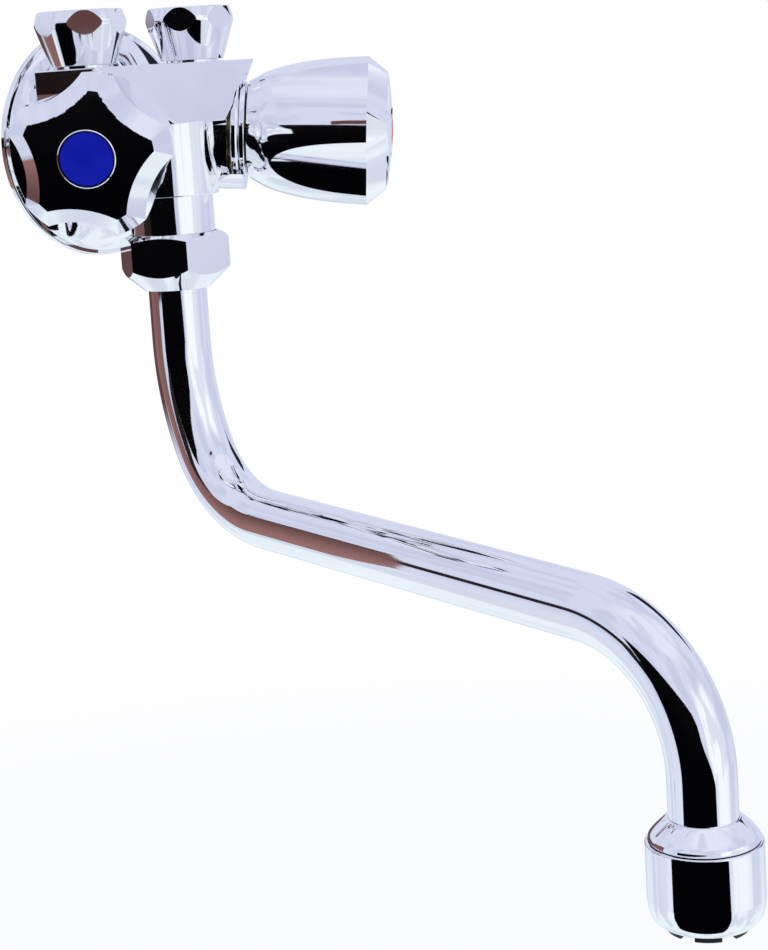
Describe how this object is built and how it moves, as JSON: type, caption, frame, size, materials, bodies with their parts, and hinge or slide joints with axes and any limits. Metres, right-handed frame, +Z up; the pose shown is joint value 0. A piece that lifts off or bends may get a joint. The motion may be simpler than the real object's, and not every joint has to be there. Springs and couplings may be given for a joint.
{
  "type": "wall-mounted low-pressure mixer tap",
  "caption": "Wall-mounted chrome mixer tap for an open water heater: lobed cold and hot handles, swivelling tube spout with aerator, and heater pipe nuts on top.",
  "frame": {"origin": "centre of the wall inlet thread where it crosses the wall face", "axes": "+Z up, -Y out of the wall into the room, +X to the right for someone facing the wall"},
  "size_m": [0.1401, 0.2608, 0.2427],
  "materials": {
    "chrome_plate": "polished",
    "brass_headwork": "machined",
    "steel_fixing": "satin",
    "black_rubber": "matte",
    "blue_index": "gloss",
    "red_index": "gloss",
    "black_plastic": "satin",
    "white_plastic": "satin"
  },
  "bodies": {
    "tap_body": {"body": "chrome_plate", "wall_rosette": "chrome_plate", "left_pipe_nut": "chrome_plate", "right_pipe_nut": "chrome_plate", "left_olive": "brass_headwork", "right_olive": "brass_headwork", "spout_nut": "chrome_plate", "cold_bonnet": "brass_headwork", "hot_bonnet": "brass_headwork", "cold_bonnet_seal": "black_rubber", "hot_bonnet_seal": "black_rubber", "cold_collar": "chrome_plate", "hot_collar": "chrome_plate"},
    "spout": {"spout_tube": "chrome_plate", "spout_bush": "brass_headwork", "spout_o_rings": "black_rubber", "spout_slide_ring": "white_plastic", "outlet_cone": "chrome_plate", "aerator_housing": "chrome_plate", "aerator_washer": "black_rubber", "aerator_screen": "steel_fixing", "aerator_insert": "black_plastic"},
    "cold_control": {"cold_handle": "chrome_plate", "cold_index": "blue_index", "cold_handle_screw": "steel_fixing", "cold_spindle": "brass_headwork", "cold_spindle_o_rings": "black_rubber", "cold_spindle_clip": "steel_fixing"},
    "cold_valve": {"cold_plunger": "brass_headwork", "cold_seat_washer": "black_rubber"},
    "hot_control": {"hot_handle": "chrome_plate", "hot_index": "red_index", "hot_handle_screw": "steel_fixing", "hot_spindle": "brass_headwork", "hot_spindle_o_rings": "black_rubber", "hot_spindle_clip": "steel_fixing"},
    "hot_valve": {"hot_plunger": "brass_headwork", "hot_seat_washer": "black_rubber"}
  },
  "joints": [
    {"name": "spout_swivel", "type": "hinge", "parent": "tap_body", "child": "spout", "pos_m": [0, -0.0352, -0.04], "axis": [0, 0, 1], "range_deg": [-95, 95]},
    {"name": "cold_turn", "type": "hinge", "parent": "tap_body", "child": "cold_control", "pos_m": [0, -0.0154, 0.0038], "axis": [-0.705, -0.705, -0.0767], "range_deg": [0, 720]},
    {"name": "cold_lift", "type": "slide", "parent": "tap_body", "child": "cold_valve", "axis": [-0.705, -0.705, -0.0767], "range_m": [0, 0.004]},
    {"name": "hot_turn", "type": "hinge", "parent": "tap_body", "child": "hot_control", "pos_m": [0, -0.0154, 0.0038], "axis": [0.705, -0.705, -0.0767], "range_deg": [0, 720]},
    {"name": "hot_lift", "type": "slide", "parent": "tap_body", "child": "hot_valve", "axis": [0.705, -0.705, -0.0767], "range_m": [0, 0.004]}
  ],
  "couplings": [
    {"joint": "cold_lift", "follows": "cold_turn", "m_per_rad": 0.00031751},
    {"joint": "hot_lift", "follows": "hot_turn", "m_per_rad": 0.00031751}
  ]
}
